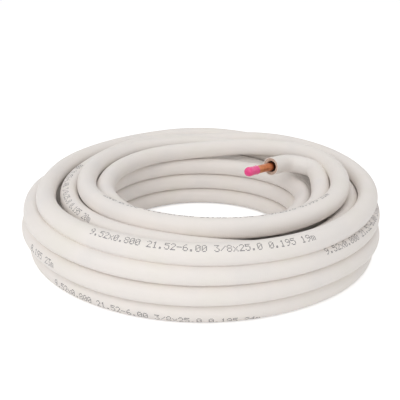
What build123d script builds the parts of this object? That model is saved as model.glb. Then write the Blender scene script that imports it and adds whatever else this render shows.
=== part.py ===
from build123d import *
import math
import os

# Sizes in mm. Z is up, the coil lies flat on Z = 0 and its winding axis is Z.

# Tube: 3/8 inch copper inside a 6 mm foam jacket
COPPER_OD = 9.52
COPPER_WALL = 0.8
FOAM_WALL = 6.0
TUBE_OD = COPPER_OD + 2 * FOAM_WALL
TUBE_R = TUBE_OD / 2
CLEAR = 0.3

# Packed lower turns: the soft foam presses flat where turns and floor touch
SQUASH = 0.4
PACKED_SIDES = 12
TURN_PITCH = TUBE_OD - SQUASH
WALL_ROWS = 3
TOP_Z = TUBE_R + (WALL_ROWS - 1) * TURN_PITCH
INNER_R = 119.5
OUTER_R = 197.6
BOTTOM_INSET = 7.0
BOTTOM_TURNS = 4
CORE_OVERLAP = 1.0
FOOT_GROOVE = 2.8
BED_INNER_Z = 55.5
BED_OUTER_Z = 43.0

# Loose top turns, one station each STATION_STEP degrees from the free end on. A
# station says how far the tube's centre line lies out from the inner wall and
# up from the top packed row, both in tube diameters.
FIRST_STATION = -30.0
STATION_STEP = 30.0
INNER_TURN = (
    (1.28, 0.67), (0.7, 0.84), (0.39, 0.95), (0.05, 1.02), (-0.36, 0.98), (-0.57, 0.91),
    (-0.43, 0.93), (-0.2, 0.99), (-0.04, 1.02), (0.68, 1.33),
)
RAISED_TURN = (
    (2.02, 1.49), (2.13, 1.52), (2.39, 1.27), (1.76, 1.12), (1.43, 1.2), (1.1, 1.22),
    (0.71, 1.23), (0.51, 1.27), (0.76, 1.21), (1.22, 1.13), (1.55, 1.04),
)
LOW_TURN = (
    (1.61, 0.73), (2.16, 0.37), (2.45, 0.23), (2.63, 0.17), (2.43, 0.35), (2.24, 0.46),
    (1.88, 0.52), (1.53, 0.6), (1.5, 0.66), (1.75, 0.67), (2.25, 0.69), (2.57, 0.79),
)
OUTER_TURN = (
    (2.7, 1.3), (3.18, 1.17), (3.36, 0.98), (3.5, 1.03), (3.57, 1), (3.62, 1),
    (3.34, 1.01), (2.92, 0.88), (2.8, 0.86), (2.88, 0.8), (3.37, 1.03), (3.64, 1.08),
)
# The outer turn runs down into the packed turns, where the winding goes on
TAIL_TURN = ((3.63, 0.54), (3.54, 0.05), (3.16, -0.18))

# Free end, in tube diameters: X, Y and height above the top packed row of the cut
# face, then of each bend's corner with the bend's radius
FREE_FACE = (3.95, 0.81, 1.52)
FREE_BENDS = ((5.36, 2.44, 1.3, 1.1), (6.75, 1.06, 1.16, 1.2))
ARC_SHARE = 0.97
RUN_TURN = 12.0

# Jacket bore at the free end and the copper in it
BORE_DEPTH = 20.3
MOUTH_D = 13.0
MOUTH_DEPTH = 6.0
COPPER_BARE = 29.0

# Push-on cap
CAP_GRIP = 12.0
CAP_WALL = 0.6
CAP_NOSE = ((5.8, 13.0), (5.8, 15.0), (5.1, 17.0), (3.5, 18.4), (1.4, 19.0))


# Section of the packed turns, in X (distance from the axis) and Y (height)
def stack_section():
    foot_r = OUTER_R - BOTTOM_INSET
    foot_gap = (foot_r - INNER_R) / (BOTTOM_TURNS - 1)
    turns = [(INNER_R + i * foot_gap, TUBE_R) for i in range(BOTTOM_TURNS)]
    for row in range(1, WALL_ROWS):
        height = TUBE_R + row * TURN_PITCH
        turns += [(INNER_R, height), (OUTER_R, height)]
    inner = INNER_R - CORE_OVERLAP
    outer = OUTER_R + CORE_OVERLAP
    section = Polygon(
        (inner, TUBE_R), (INNER_R, FOOT_GROOVE), (foot_r, FOOT_GROOVE),
        (foot_r + CORE_OVERLAP, TUBE_R), (outer, TUBE_R + TURN_PITCH), (outer, TOP_Z),
        (OUTER_R, TOP_Z),
        (OUTER_R - TUBE_R, BED_OUTER_Z), (INNER_R + TUBE_R, BED_INNER_Z),
        (INNER_R, TOP_Z), (inner, TOP_Z), align=None)
    pressed = RegularPolygon(TUBE_R, PACKED_SIDES, major_radius=False,
                             rotation=180 / PACKED_SIDES)
    for radius, height in turns:
        section += Pos(radius, height) * pressed
    return section


# Point given in tube diameters, its height counted from the top packed row
def above_top(x, y, upward):
    return Vector(x * TUBE_OD, y * TUBE_OD, TOP_Z + upward * TUBE_OD)


# Corner of the guide line at the station with this number
def station_corner(number, outward, upward):
    radius = INNER_R / TUBE_OD + outward
    reach = radius / math.cos(math.radians(STATION_STEP / 2))
    a = math.radians(FIRST_STATION - number * STATION_STEP)
    return above_top(reach * math.cos(a), reach * math.sin(a), upward)


# Largest arc that fits between the neighbours of a corner
def fitting_radius(before, here, after):
    first = here - before
    second = after - here
    turn = math.radians(first.get_angle(second))
    return ARC_SHARE * min(first.length, second.length) / 2 / math.tan(turn / 2)


# Centre line of the loose turns: straight runs joined by tangent arcs
def loose_path():
    stations = INNER_TURN + RAISED_TURN + LOW_TURN + OUTER_TURN + TAIL_TURN
    corners = [above_top(*FREE_FACE)]
    corners += [above_top(x, y, upward) for x, y, upward, bend in FREE_BENDS]
    corners += [station_corner(i, *station) for i, station in enumerate(stations)]
    radii = [fitting_radius(*corners[i - 1:i + 2]) for i in range(1, len(corners) - 1)]
    for i, (x, y, upward, bend) in enumerate(FREE_BENDS):
        radii[i] = min(bend * TUBE_OD, radii[i])
    return FilletPolyline(*corners, radius=radii)


# The same line as short straight runs, which mesh far lighter than arcs
def short_runs(path):
    points = [path @ 0]
    for edge in path.edges():
        if edge.geom_type == GeomType.CIRCLE:
            turn = math.degrees(edge.length / edge.radius)
            steps = max(1, round(turn / RUN_TURN))
            points += [edge @ ((i + 0.5) / steps) for i in range(steps)]
    points.append(path @ 1)
    return Polyline(*points)


# Frame at the cut face with Z pointing out of the tube
def free_end():
    face = above_top(*FREE_FACE)
    first_bend = above_top(*FREE_BENDS[0][:3])
    return Plane(origin=face, z_dir=face - first_bend)


# Foam jacket: one winding, its packed turns turned as one, its loose turns swept
def insulation_jacket():
    path = short_runs(loose_path())
    start = Plane(origin=path @ 0, z_dir=path % 0)
    loose = sweep(start * Circle(TUBE_R), path=path, transition=Transition.RIGHT)
    jacket = loose + revolve(Plane.XZ * stack_section(), Axis.Z)
    bore = Pos(0, 0, -BORE_DEPTH) * Cylinder(COPPER_OD / 2 + CLEAR, BORE_DEPTH * 2,
                                             align=(Align.CENTER, Align.CENTER, Align.MIN))
    mouth = Pos(0, 0, -MOUTH_DEPTH) * Cylinder(MOUTH_D / 2, MOUTH_DEPTH * 2,
                                               align=(Align.CENTER, Align.CENTER, Align.MIN))
    return jacket - free_end().location * (bore + mouth)


# Copper tube: the length that stands in the bore, out of it and in the cap
def copper_tube():
    inside = BORE_DEPTH - CLEAR
    length = inside + COPPER_BARE + CAP_GRIP
    low = (Align.CENTER, Align.CENTER, Align.MIN)
    wall = Cylinder(COPPER_OD / 2, length, align=low)
    hollow = Cylinder(COPPER_OD / 2 - COPPER_WALL, length, align=low)
    return free_end().location * Pos(0, 0, -inside) * (wall - hollow)


# Push-on end cap: a sleeve that swells to a round tip
def end_cap():
    bore_r = COPPER_OD / 2 + CLEAR
    mouth_r = bore_r + CAP_WALL
    depth = CAP_GRIP + CLEAR
    tip_z = CAP_NOSE[-1][1]
    outline = Polygon((bore_r, 0), (mouth_r, 0), *CAP_NOSE, (0, tip_z), (0, depth),
                      (bore_r, depth), align=None)
    cap = revolve(Plane.XZ * outline, Axis.Z)
    return free_end().location * Pos(0, 0, COPPER_BARE) * cap


os.makedirs("parts", exist_ok=True)
export_step(insulation_jacket(), "parts/insulation_jacket.step")
export_step(copper_tube(), "parts/copper_tube.step")
export_step(end_cap(), "parts/end_cap.step")
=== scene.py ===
import bpy
import math
import numpy as np
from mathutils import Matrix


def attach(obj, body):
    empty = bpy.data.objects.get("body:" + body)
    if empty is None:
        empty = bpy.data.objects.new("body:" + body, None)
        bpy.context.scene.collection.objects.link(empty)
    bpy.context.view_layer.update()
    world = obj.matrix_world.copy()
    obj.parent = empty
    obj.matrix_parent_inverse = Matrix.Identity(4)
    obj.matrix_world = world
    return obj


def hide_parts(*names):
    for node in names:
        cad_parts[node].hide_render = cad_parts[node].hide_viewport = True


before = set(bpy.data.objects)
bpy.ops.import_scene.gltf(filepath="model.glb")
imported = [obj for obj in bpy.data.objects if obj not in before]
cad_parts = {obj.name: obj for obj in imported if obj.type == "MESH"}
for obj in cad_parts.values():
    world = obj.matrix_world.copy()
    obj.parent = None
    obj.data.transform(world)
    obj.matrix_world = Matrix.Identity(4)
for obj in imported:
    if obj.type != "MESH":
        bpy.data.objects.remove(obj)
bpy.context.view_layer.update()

MM = 0.001

# Sizes shared with the solids, in mm
TUBE_OD = 21.52
TUBE_R = TUBE_OD / 2
TURN_PITCH = 21.12
TOP_Z = TUBE_R + 2 * TURN_PITCH
INNER_R = 119.5
OUTER_R = 197.6
BOTTOM_INSET = 7.0
BOTTOM_TURNS = 4
COPPER_R = 4.76
COPPER_BARE = 29.0
MOUTH_R = 6.5
CLEAR = 0.3

# Loose turns each 30 degrees: tube diameters out from the inner wall and up from the top packed row
FIRST_STATION = -30
STATION_STEP = 30
STATIONS = (
    (1.28, 0.67), (0.8, 0.67), (0.57, 0.76), (0.3, 0.78), (-0.24, 0.86), (-0.45, 0.85),
    (-0.38, 0.92), (-0.2, 0.99), (-0.04, 1.02), (0.68, 1.33), (1.74, 1.49), (1.9, 1.49),
    (2.08, 1.27), (1.76, 1.12), (1.43, 1.19), (1.1, 1.28), (0.71, 1.22), (0.51, 1.27),
    (0.76, 1.21), (1.22, 1.13), (1.55, 1.04), (1.61, 0.73), (2.2, 0.46), (2.45, 0.52),
    (2.6, 0.33), (2.43, 0.06), (2.24, 0.62), (1.92, 0.73), (1.56, 0.62), (1.5, 0.66),
    (1.75, 0.67), (2.3, 1.1), (2.57, 0.79), (2.7, 1.3), (3.18, 1.17), (3.36, 0.98),
    (3.5, 0.92), (3.58, 0.87), (3.6, 0.93), (3.33, 0.98), (2.88, 0.87), (2.62, 0.84),
    (3.03, 0.84), (3.36, 0.91), (3.64, 1.1), (3.65, 0.76), (3.6, 0.1), (3.3, 0),
)

# Free end in tube diameters: X, Y and height above the top packed row, of its face and two bends
FREE_FACE = (3.95, 0.81, 1.52)
FREE_BENDS = ((5.36, 2.44, 1.3), (6.75, 1.06, 1.16))

# First bend: its radius in mm, and the share of the leg before it that is kept straight
BEND_R = 1.05 * TUBE_OD
STRAIGHT_SHARE = 0.25

# Room in mm that keeps the raised print on the second ring within the solids' box
PRINT_ROOM = 0.2

# Packed rings, bottom row first: mm inward, then bends as angle, spread, mm outward, mm upward
OUTER_INSETS = (BOTTOM_INSET, PRINT_ROOM, 0.0)
OUTER_BENDS = (
    ((-128, 25, -1.8, 0), (-30, 28, 4.2, 0)),
    ((-158, 38, 0, 5), (-20, 28, 0, -1.2), (-27, 16, 3, 0)),
    ((-140, 32, -0.5, 4.5), (192, 20, -3.6, 0), (166, 14, 2, 0), (-20, 28, 0, -2.4)),
)
INNER_BENDS = ((), ((22, 35, 3.2, 0),), ((22, 35, 6.4, 0),))

# Hidden rings that bed the loose turns: radius and height in mm, then any bend
BED_RINGS = (
    (141.0, 44.5, (68, 26, 0, 9)),
    (161.0, 40.5),
    (178.0, 35.0, (182, 50, 0, 14)),
    (140.5, 26.0),
)

# Mesh density of the jacket and its end
STEP = 4.0
SIDES = 40
HIDDEN_SIDES = 24
END_SIDES = 48
CURVE_POINTS = 60

# Cut end of the jacket, radius and distance out from its face in mm: film lip, foam face, bore wall
LIP_PROFILE = (
    (TUBE_R, -1.5), (TUBE_R + 0.1, -0.5), (TUBE_R + 0.1, 0.1), (TUBE_R - 0.1, 0.35),
    (TUBE_R - 0.5, 0.3), (TUBE_R - 0.8, -0.1))
FACE_PROFILE = (
    (TUBE_R - 0.8, -0.1), (TUBE_R - 1.5, -0.4), (9.0, -0.2), (8.0, -0.3), (7.3, -0.5),
    (6.8, -1.0), (MOUTH_R, -1.7))
BORE_PROFILE = (
    (MOUTH_R, -1.7), (MOUTH_R, -5.8), (COPPER_R + CLEAR, -6.4), (COPPER_R + CLEAR, -20.0))

# Cap from its mouth on: a soft sleeve stretched on the tube, fuller at its round tip
CAP_PROFILE = (
    (COPPER_R + 0.1, 0.4), (COPPER_R + 0.1, 0.0), (5.2, -0.1), (5.36, 0.15), (5.36, 0.6),
    (5.12, 1.8), (5.14, 5.0), (5.24, 8.5), (5.46, 11.5), (5.6, 13.5), (5.58, 15.0),
    (5.32, 16.4), (4.76, 17.6), (3.85, 18.42), (2.6, 18.86), (1.3, 18.99), (0.05, 19.0))

# Printed characters, as rows of dots from the top down
DOT_COLUMNS = 5
DOT_ROWS = 7
DOT_ALONG = 0.9
DOT_UP = 1.02
DOT_SIZE = 0.86
DOT_CORNERS = 8
INK_LIFT = 0.06
CELL = (DOT_COLUMNS + 1) * DOT_ALONG
FONT = {
    "0": "01110 10001 10011 10101 11001 10001 01110",
    "1": "00100 01100 00100 00100 00100 00100 01110",
    "2": "01110 10001 00001 00010 00100 01000 11111",
    "3": "11111 00010 00100 00010 00001 10001 01110",
    "4": "00010 00110 01010 10010 11111 00010 00010",
    "5": "11111 10000 11110 00001 00001 10001 01110",
    "6": "00110 01000 10000 11110 10001 10001 01110",
    "7": "11111 00001 00010 00100 01000 01000 01000",
    "8": "01110 10001 10001 01110 10001 10001 01110",
    "9": "01110 10001 10001 01111 00001 00010 01100",
    "x": "00000 00000 10001 01010 00100 01010 10001",
    "m": "00000 00000 11010 10101 10101 10101 10101",
    ".": "00000 00000 00000 00000 00000 01100 01100",
    "-": "00000 00000 00000 11111 00000 00000 00000",
    "/": "00000 00001 00010 00100 01000 10000 00000",
    " ": "00000 00000 00000 00000 00000 00000 00000",
}
SIZES = "9.52x0.800 21.52-6.00 3/8x25.0 0.195 "

# Cross ribs of the film, in metres; a wave texture of scale 1 repeats each WAVE_PITCH
RIB_PITCH = 0.0016
WAVE_PITCH = 2 * math.pi / 20

# Camera fitted to the photograph: lens and sensor in mm, place in metres, degrees below level
LENS = 57.857
SENSOR = 36.0
CAMERA_PLACE = (0.0, -0.71841, 0.32792)
CAMERA_DOWN = 21.203

# Lights: name, place and target in metres, diameter in metres and power in watts
LIGHTS = (
    ("key", (-0.9, -1.6, 1.5), (0, 0, 0.05), 1.6, 12.5),
    ("top", (0.2, 0.2, 2.2), (0, 0, 0), 2.0, 6),
    ("front", (0.3, -2.0, 0.6), (0, 0, 0.05), 1.4, 4.5),
    ("glint", (-1.7, -0.3, 0.9), (0, 0, 0.08), 0.3, 0.9),
)

# Floor and surround: half width in metres, grey, glow where it is seen, light all round
FLOOR_HALF = 9
FLOOR_GREY = 0.95
FLOOR_GLOW = 0.45
SURROUND = 0.57


def unit(v):
    return v / np.linalg.norm(v, axis=-1, keepdims=True)


def above_top(x, y, upward):
    return np.array((x * TUBE_OD, y * TUBE_OD, TOP_Z + upward * TUBE_OD))


def station_corner(number, outward, upward):
    reach = (INNER_R / TUBE_OD + outward) / math.cos(math.radians(STATION_STEP / 2))
    a = math.radians(FIRST_STATION - number * STATION_STEP)
    return above_top(reach * math.cos(a), reach * math.sin(a), upward)


# Two corners that round the bend at b as an arc of BEND_R would
def rounded(a, b, c):
    before, after = unit(b - a), unit(c - b)
    turn = math.acos(float(before @ after))
    cut = BEND_R * (math.tan(turn / 2) - math.tan(turn / 4))
    return b - cut * before, b + cut * after


# Smooth line through the midpoints of a control polygon, at even steps
def smooth_line(corners, step):
    mids = [(a + b) / 2 for a, b in zip(corners[:-1], corners[1:])]
    t = np.linspace(0, 1, CURVE_POINTS, endpoint=False)[:, None]
    runs = [corners[0] + t * (mids[0] - corners[0])]
    for a, b, c in zip(mids[:-1], corners[1:-1], mids[1:]):
        runs.append((1 - t) ** 2 * a + 2 * t * (1 - t) * b + t ** 2 * c)
    runs.append(mids[-1] + t * (corners[-1] - mids[-1]))
    line = np.vstack(runs + [corners[-1][None]])
    dist = np.r_[0, np.cumsum(np.linalg.norm(np.diff(line, axis=0), axis=1))]
    even = np.linspace(0, dist[-1], int(dist[-1] / step) + 1)
    return np.stack([np.interp(even, dist, line[:, i]) for i in range(3)], 1)


# Closed line round Z, with its bends
def ring_line(radius, height, *bends):
    count = int(2 * math.pi * radius / STEP)
    a = -np.arange(count) * 2 * math.pi / count
    r, z = np.full(count, radius), np.full(count, height)
    for at, spread, outward, upward in bends:
        off = np.degrees(np.angle(np.exp(1j * (a - math.radians(at)))))
        share = np.exp(-(off / spread) ** 2)
        r += outward * share
        z += upward * share
    return np.stack([r * np.cos(a), r * np.sin(a), z], 1)


class Tube:
    """Round tube along a line, with its outward and upward direction at each point."""

    def __init__(self, line, closed):
        self.line = line
        self.closed = closed
        if closed:
            ahead = np.roll(line, -1, 0)
            tangent = unit(ahead - np.roll(line, 1, 0))
            steps = np.linalg.norm(ahead - line, axis=1)
        else:
            tangent = unit(np.gradient(line, axis=0))
            steps = np.linalg.norm(np.diff(line, axis=0), axis=1)
        self.s = np.r_[0, np.cumsum(steps)]
        self.out = unit(np.cross((0.0, 0.0, 1.0), tangent))
        self.up = np.cross(tangent, self.out)

    # Points on the skin: distance along in mm, angle round from outward in radians
    def surface(self, s, phi, lift):
        s = np.mod(s, self.s[-1]) if self.closed else np.clip(s, 0, self.s[-1])
        table = (self.line, self.out, self.up)
        if self.closed:
            table = [np.vstack([v, v[:1]]) for v in table]
        centre, out, up = (
            np.stack([np.interp(s, self.s, v[:, i]) for i in range(3)], -1) for v in table)
        way = np.cos(phi)[..., None] * unit(out) + np.sin(phi)[..., None] * unit(up)
        return centre + (TUBE_R + lift) * way


def ring(radius, height, *bends):
    return Tube(ring_line(radius, height, *bends), True)


def new_object(name, vertices, faces, uv, material):
    mesh = bpy.data.meshes.new(name)
    mesh.from_pydata((np.asarray(vertices) * MM).tolist(), [], faces)
    if uv is not None:
        layer = mesh.uv_layers.new(name="UVMap")
        layer.data.foreach_set("uv", np.asarray(uv, float).ravel())
    mesh.polygons.foreach_set("use_smooth", [True] * len(mesh.polygons))
    mesh.materials.append(material)
    obj = bpy.data.objects.new(name, mesh)
    bpy.context.scene.collection.objects.link(obj)
    return obj


# Skin of a tube as vertices, faces and UV in metres along and round it
def skin(tube, sides, offset):
    phi = np.linspace(0, 2 * math.pi, sides, endpoint=False) - math.pi / 2
    rings = len(tube.line)
    circle = (np.cos(phi)[None, :, None] * tube.out[:, None] +
              np.sin(phi)[None, :, None] * tube.up[:, None])
    verts = (tube.line[:, None] + TUBE_R * circle).reshape(-1, 3)
    faces, uv = [], []
    last = rings if tube.closed else rings - 1
    arc = TUBE_R * 2 * math.pi / sides * MM
    for i in range(last):
        j = (i + 1) % rings
        u0, u1 = tube.s[i] * MM, tube.s[i + 1] * MM
        for k in range(sides):
            m = (k + 1) % sides
            faces.append((offset + i * sides + k, offset + j * sides + k,
                          offset + j * sides + m, offset + i * sides + m))
            uv += [(u0, k * arc), (u1, k * arc), (u1, (k + 1) * arc), (u0, (k + 1) * arc)]
    return verts, faces, uv


def tube_object(name, tubes, sides, material):
    verts, faces, uv = [], [], []
    count = 0
    for tube in tubes:
        more_verts, more_faces, more_uv = skin(tube, sides, count)
        verts.append(more_verts)
        faces += more_faces
        uv += more_uv
        count += len(more_verts)
    return new_object(name, np.vstack(verts), faces, uv, material)


# Text reads towards smaller s; its middle height goes from angle start to end
def print_dots(tube, text, s_end, start, end):
    length = len(text) * CELL
    verts = []
    for place, letter in enumerate(text):
        for row, bits in enumerate(FONT[letter].split()):
            for column, bit in enumerate(bits):
                if bit == "1":
                    along = place * CELL + column * DOT_ALONG
                    share = along / length
                    height = (DOT_ROWS // 2 - row) * DOT_UP
                    middle = math.radians(start + (end - start) * share)
                    verts.append((s_end + length - along, middle + height / TUBE_R))
    spots = np.array(verts)
    half_turn = 180 / DOT_CORNERS
    corner = np.radians(np.arange(half_turn, 360, 2 * half_turn))
    half = DOT_SIZE / 2 / math.cos(math.radians(half_turn))
    s = spots[:, :1] + half * np.cos(corner)
    phi = spots[:, 1:] + half * np.sin(corner) / TUBE_R
    return tube.surface(s, phi, INK_LIFT)


def new_material(name):
    m = bpy.data.materials.new(name)
    m.use_nodes = True
    nodes = m.node_tree.nodes
    nodes.clear()
    out = nodes.new("ShaderNodeOutputMaterial")
    shader = nodes.new("ShaderNodeBsdfPrincipled")
    m.node_tree.links.new(shader.outputs[0], out.inputs[0])
    return m, m.node_tree, shader


def node(tree, kind, sockets=None, **settings):
    n = tree.nodes.new(kind)
    for key, value in settings.items():
        setattr(n, key, value)
    for key, value in (sockets or {}).items():
        n.inputs[key].default_value = value
    return n


def srgb(red, green, blue):
    def linear(c):
        c /= 255
        return c / 12.92 if c <= 0.04045 else ((c + 0.055) / 1.055) ** 2.4
    return (linear(red), linear(green), linear(blue), 1.0)


def ramp(tree, source, stops):
    n = tree.nodes.new("ShaderNodeValToRGB")
    while len(n.color_ramp.elements) < len(stops):
        n.color_ramp.elements.new(0.5)
    for element, (place, colour) in zip(n.color_ramp.elements, stops):
        element.position = place
        element.color = colour
    tree.links.new(source, n.inputs[0])
    return n.outputs[0]


# Noise over the object's own coordinates, in metres
def noise(tree, scale, detail, place):
    n = node(tree, "ShaderNodeTexNoise", {"Scale": scale, "Detail": detail})
    tree.links.new(place.outputs["Object"], n.inputs["Vector"])
    return n.outputs[0]


def bump(tree, height, strength, distance, below=None):
    n = node(tree, "ShaderNodeBump", {"Strength": strength, "Distance": distance})
    tree.links.new(height, n.inputs["Height"])
    if below:
        tree.links.new(below, n.inputs["Normal"])
    return n.outputs[0]


# White film over foam: fine cross ribs, soft dents, a faint change of tint
def film_material():
    m, tree, shader = new_material("embossed_film")
    link = tree.links.new
    uv = node(tree, "ShaderNodeUVMap", uv_map="UVMap")
    place = node(tree, "ShaderNodeTexCoord")
    ribs = node(tree, "ShaderNodeTexWave",
                {"Scale": WAVE_PITCH / RIB_PITCH, "Distortion": 0.5, "Detail": 1.0,
                 "Detail Scale": 0.4},
                wave_type="BANDS", bands_direction="X", wave_profile="SIN")
    link(uv.outputs[0], ribs.inputs["Vector"])
    dents = noise(tree, 22.0, 2.0, place)
    grain = noise(tree, 700.0, 3.0, place)
    colour = ramp(tree, dents, (
        (0.3, srgb(236, 231, 227)), (0.5, srgb(240, 234, 229)), (0.7, srgb(238, 233, 226))))
    link(colour, shader.inputs["Base Color"])
    rough = node(tree, "ShaderNodeMapRange",
                 {"From Min": 0.3, "From Max": 0.7, "To Min": 0.46, "To Max": 0.62})
    link(dents, rough.inputs["Value"])
    link(rough.outputs[0], shader.inputs["Roughness"])
    normal = bump(tree, ribs.outputs["Fac"], 0.5, 0.0001)
    normal = bump(tree, grain, 0.2, 0.0001, normal)
    normal = bump(tree, dents, 0.3, 0.001, normal)
    link(normal, shader.inputs["Normal"])
    shader.inputs["Specular IOR Level"].default_value = 0.3
    return m


# Cut foam with open cells; a shade below 1 darkens it as painted shade
def foam_material(name, shade):
    m, tree, shader = new_material(name)
    link = tree.links.new
    place = node(tree, "ShaderNodeTexCoord")
    cells = node(tree, "ShaderNodeTexVoronoi", {"Scale": 1300.0})
    link(place.outputs["Object"], cells.inputs["Vector"])
    colour = ramp(tree, noise(tree, 400.0, 3.0, place), (
        (0.3, srgb(188 * shade, 164 * shade, 146 * shade)),
        (0.5, srgb(206 * shade, 184 * shade, 168 * shade)),
        (0.7, srgb(222 * shade, 204 * shade, 190 * shade))))
    link(colour, shader.inputs["Base Color"])
    link(bump(tree, cells.outputs["Distance"], 0.8, 0.0003), shader.inputs["Normal"])
    shader.inputs["Roughness"].default_value = 0.9
    return m


# Drawn copper with light tarnish, duller where it is paler
def copper_material():
    m, tree, shader = new_material("drawn_copper")
    link = tree.links.new
    tarnish = noise(tree, 160.0, 5.0, node(tree, "ShaderNodeTexCoord"))
    colour = ramp(tree, tarnish, (
        (0.3, srgb(176, 104, 66)), (0.5, srgb(200, 124, 82)), (0.7, srgb(216, 142, 100))))
    link(colour, shader.inputs["Base Color"])
    rough = node(tree, "ShaderNodeMapRange", {"To Min": 0.26, "To Max": 0.5})
    link(tarnish, rough.inputs["Value"])
    link(rough.outputs[0], shader.inputs["Roughness"])
    link(bump(tree, tarnish, 0.15, 0.0001), shader.inputs["Normal"])
    shader.inputs["Metallic"].default_value = 1.0
    return m


# Glossy pink plastic that lets a little light through
def cap_material():
    m, tree, shader = new_material("pink_cap")
    link = tree.links.new
    cloud = noise(tree, 120.0, 2.0, node(tree, "ShaderNodeTexCoord"))
    colour = ramp(tree, cloud, (
        (0.3, srgb(244, 66, 140)), (0.7, srgb(252, 92, 160))))
    link(colour, shader.inputs["Base Color"])
    link(bump(tree, cloud, 0.1, 0.0002), shader.inputs["Normal"])
    shader.inputs["Roughness"].default_value = 0.14
    shader.inputs["Subsurface Weight"].default_value = 0.2
    shader.inputs["Subsurface Radius"].default_value = (0.004, 0.001, 0.002)
    shader.inputs["Subsurface Scale"].default_value = 1.0
    return m


# Grey ink that fades from place to place
def ink_material():
    m, tree, shader = new_material("grey_ink")
    fade = noise(tree, 60.0, 3.0, node(tree, "ShaderNodeTexCoord"))
    colour = ramp(tree, fade, (
        (0.3, srgb(84, 82, 88)), (0.7, srgb(130, 127, 130))))
    tree.links.new(colour, shader.inputs["Base Color"])
    shader.inputs["Roughness"].default_value = 0.6
    return m


FILM = film_material()
FOAM = foam_material("cut_foam", 1.0)
# Bore wall foam darkened to 0.3 of its colour: painted shade of the deep, narrow bore
PAINTED_SHADE_FOAM = foam_material("bore_foam_painted_shade", 0.3)
COPPER = copper_material()
CAP = cap_material()
INK = ink_material()

# Loose turns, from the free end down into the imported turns
free_face = above_top(*FREE_FACE)
free_bends = [above_top(*bend) for bend in FREE_BENDS]
first_leg = free_bends[0] - free_face
bend_before, bend_after = rounded(free_face, *free_bends)
corners = [free_face, free_face + STRAIGHT_SHARE * first_leg, bend_before, bend_after,
           free_bends[1]]
corners += [station_corner(i, *station) for i, station in enumerate(STATIONS)]
loose = Tube(smooth_line(corners, STEP), False)

# Packed turns, and the hidden ones under the loose turns and in the bottom row
outer = [ring(OUTER_R - inset, TUBE_R + row * TURN_PITCH, *bends)
         for row, (inset, bends) in enumerate(zip(OUTER_INSETS, OUTER_BENDS))]
inner = [ring(INNER_R, TUBE_R + row * TURN_PITCH, *bends)
         for row, bends in enumerate(INNER_BENDS)]
foot_gap = (OUTER_R - BOTTOM_INSET - INNER_R) / (BOTTOM_TURNS - 1)
hidden = [ring(*bed) for bed in BED_RINGS]
hidden += [ring(INNER_R + i * foot_gap, TUBE_R) for i in range(1, BOTTOM_TURNS - 1)]

jacket = [
    tube_object("loose_turns", [loose], SIDES, FILM),
    tube_object("outer_turns", outer, SIDES, FILM),
    tube_object("inner_turns", inner, SIDES, FILM),
    tube_object("middle_turns", hidden, HIDDEN_SIDES, FILM),
]

# Printed lines: tube, text, mm along where it ends, degrees up from outward at its start and end
PRINT_LINES = (
    (loose, SIZES + "19m", 3127, 62, 50),
    (loose, SIZES[6:] + "20m", 2253, 86, 47),
    (loose, SIZES[-11:] + SIZES + "21m", 1010, 112, 110),
    (outer[2], SIZES + "18m", -29, 52, 54),
    (outer[2], SIZES + "17m", 992, 130, 130),
    (outer[1], SIZES[-6:] + "23m", 463, 14, 14),
    (outer[0], SIZES + "24m", 246, 0, -38),
)
dots = np.vstack([print_dots(*line) for line in PRINT_LINES])
dot_faces = [tuple(range(DOT_CORNERS * i, DOT_CORNERS * (i + 1))) for i in range(len(dots))]
ink = new_object("metre_print", dots.reshape(-1, 3), dot_faces, None, INK)
jacket.append(ink)


# Surface of revolution about the free end's axis: rows of (radius, distance out)
def turned(name, profile, material):
    axis = unit(-first_leg)
    side = unit(np.cross(axis, (0.0, 0.0, 1.0)))
    top = np.cross(side, axis)
    a = np.linspace(0, 2 * math.pi, END_SIDES, endpoint=False)
    circle = np.cos(a)[:, None] * side + np.sin(a)[:, None] * top
    verts = np.vstack([free_face + axis * out + radius * circle for radius, out in profile])
    faces = []
    for i in range(len(profile) - 1):
        here, there = i * END_SIDES, (i + 1) * END_SIDES
        for k in range(END_SIDES):
            m = (k + 1) % END_SIDES
            faces.append((here + k, here + m, there + m, there + k))
    return new_object(name, verts, faces, None, material)


jacket.append(turned("film_lip", LIP_PROFILE, FILM))
jacket.append(turned("foam_face", FACE_PROFILE, FOAM))
# The bore wall takes the darkened foam, painted shade inside the bore
jacket.append(turned("bore_wall", BORE_PROFILE, PAINTED_SHADE_FOAM))
for piece in jacket:
    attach(piece, "root")
    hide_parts("insulation_jacket")

cap = turned("round_cap", [(r, COPPER_BARE + out) for r, out in CAP_PROFILE], CAP)
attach(cap, "root")
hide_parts("end_cap")

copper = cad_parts["copper_tube"]
copper.data.materials.clear()
copper.data.materials.append(COPPER)

# Camera at the photograph's view
camera = bpy.data.cameras.new("camera")
camera.lens = LENS
camera.sensor_width = SENSOR
camera.clip_start = 0.01
view = bpy.data.objects.new("camera", camera)
view.location = CAMERA_PLACE
view.rotation_euler = (math.radians(90 - CAMERA_DOWN), 0.0, 0.0)
bpy.context.scene.collection.objects.link(view)
bpy.context.scene.camera = view


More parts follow.
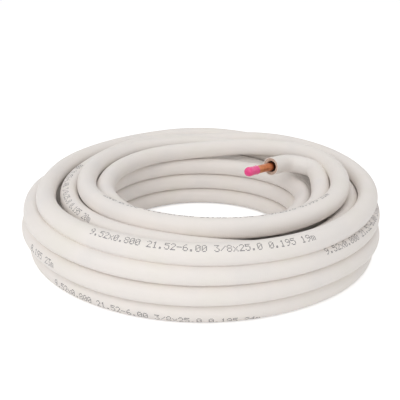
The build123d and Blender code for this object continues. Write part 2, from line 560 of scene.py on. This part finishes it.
# 1 for rays from the camera, a mirror or glass, else 0
def seen(tree):
    path = node(tree, "ShaderNodeLightPath")
    total = path.outputs["Is Camera Ray"]
    for name in ("Is Glossy Ray", "Is Transmission Ray"):
        more = node(tree, "ShaderNodeMath", operation="MAXIMUM")
        tree.links.new(total, more.inputs[0])
        tree.links.new(path.outputs[name], more.inputs[1])
        total = more.outputs[0]
    return total


# Pale floor that glows where it is seen and still takes the object's shadow
floor_mesh = bpy.data.meshes.new("floor")
low, high = -FLOOR_HALF, FLOOR_HALF
floor_mesh.from_pydata([(low, low, 0), (high, low, 0), (high, high, 0), (low, high, 0)],
                       [], [(0, 1, 2, 3)])
floor = bpy.data.objects.new("floor", floor_mesh)
bpy.context.scene.collection.objects.link(floor)
pale, floor_tree, floor_shader = new_material("pale_floor")
floor_shader.inputs["Base Color"].default_value = (FLOOR_GREY, FLOOR_GREY, FLOOR_GREY, 1)
floor_shader.inputs["Roughness"].default_value = 0.9
floor_shader.inputs["Specular IOR Level"].default_value = 0.0
floor_mesh.materials.append(pale)
glow = node(floor_tree, "ShaderNodeMath", operation="MULTIPLY")
glow.inputs[1].default_value = FLOOR_GLOW
floor_tree.links.new(seen(floor_tree), glow.inputs[0])
floor_shader.inputs["Emission Color"].default_value = (1, 1, 1, 1)
floor_tree.links.new(glow.outputs[0], floor_shader.inputs["Emission Strength"])


def area_light(name, place, target, size, power):
    light = bpy.data.lights.new(name, "AREA")
    light.shape = "DISK"
    light.size = size
    light.energy = power
    obj = bpy.data.objects.new(name, light)
    obj.location = place
    aim = np.array(target, float) - np.array(place, float)
    flat = math.hypot(aim[0], aim[1])
    obj.rotation_euler = (math.atan2(flat, -aim[2]), 0.0, math.atan2(aim[1], aim[0]) - math.pi / 2)
    bpy.context.scene.collection.objects.link(obj)


for light_row in LIGHTS:
    area_light(*light_row)

# Even studio surround: white where it is seen, plain where it lights
world = bpy.data.worlds.new("studio")
world.use_nodes = True
tree = world.node_tree
level = node(tree, "ShaderNodeMapRange", {"To Min": SURROUND, "To Max": 1.0})
tree.links.new(seen(tree), level.inputs["Value"])
tree.nodes["Background"].inputs[0].default_value = (1, 1, 1, 1)
tree.links.new(level.outputs[0], tree.nodes["Background"].inputs[1])
bpy.context.scene.world = world
bpy.context.scene.view_settings.view_transform = "Standard"
